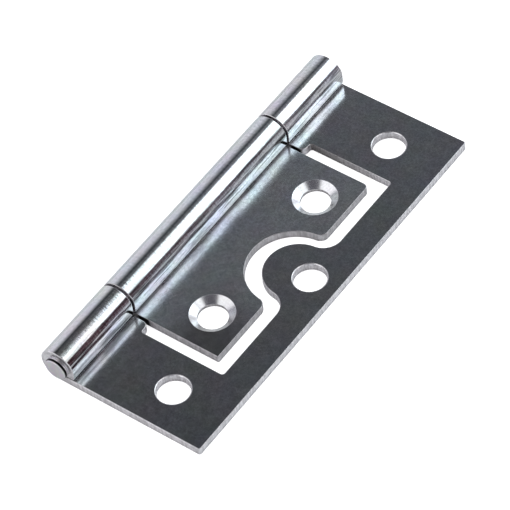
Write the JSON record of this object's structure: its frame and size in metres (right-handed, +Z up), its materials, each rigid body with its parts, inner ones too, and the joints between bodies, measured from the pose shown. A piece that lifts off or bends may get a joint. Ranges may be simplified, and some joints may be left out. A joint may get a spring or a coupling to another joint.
{
  "type": "flush hinge",
  "caption": "Pressed steel flush hinge: a countersunk inner leaf nests in the window of the outer leaf, both rolled round one steel pin with peened ends.",
  "frame": {"origin": "under the middle of the closed hinge, on the surface that its flat side lies on", "axes": "+Y along the hinge pin, +X from the barrel to the front edge of the outer leaf, +Z up from the flat side towards the top of the barrel"},
  "size_m": [0.0316, 0.0766, 0.0068],
  "materials": {
    "zinc_plate": "bright zinc plate, smooth and reflective, faintly mottled",
    "pin_steel": "bright zinc plate on the cut end of a steel rod"
  },
  "bodies": {
    "outer_leaf": {"outer_leaf": "zinc_plate", "hinge_pin": "pin_steel"},
    "inner_leaf": {"inner_leaf": "zinc_plate"}
  },
  "joints": [
    {"name": "leaf_swing", "type": "hinge", "parent": "outer_leaf", "child": "inner_leaf", "pos_m": [-0.0124, 0, 0.0034], "axis": [0, -1, 0], "continuous": true}
  ]
}
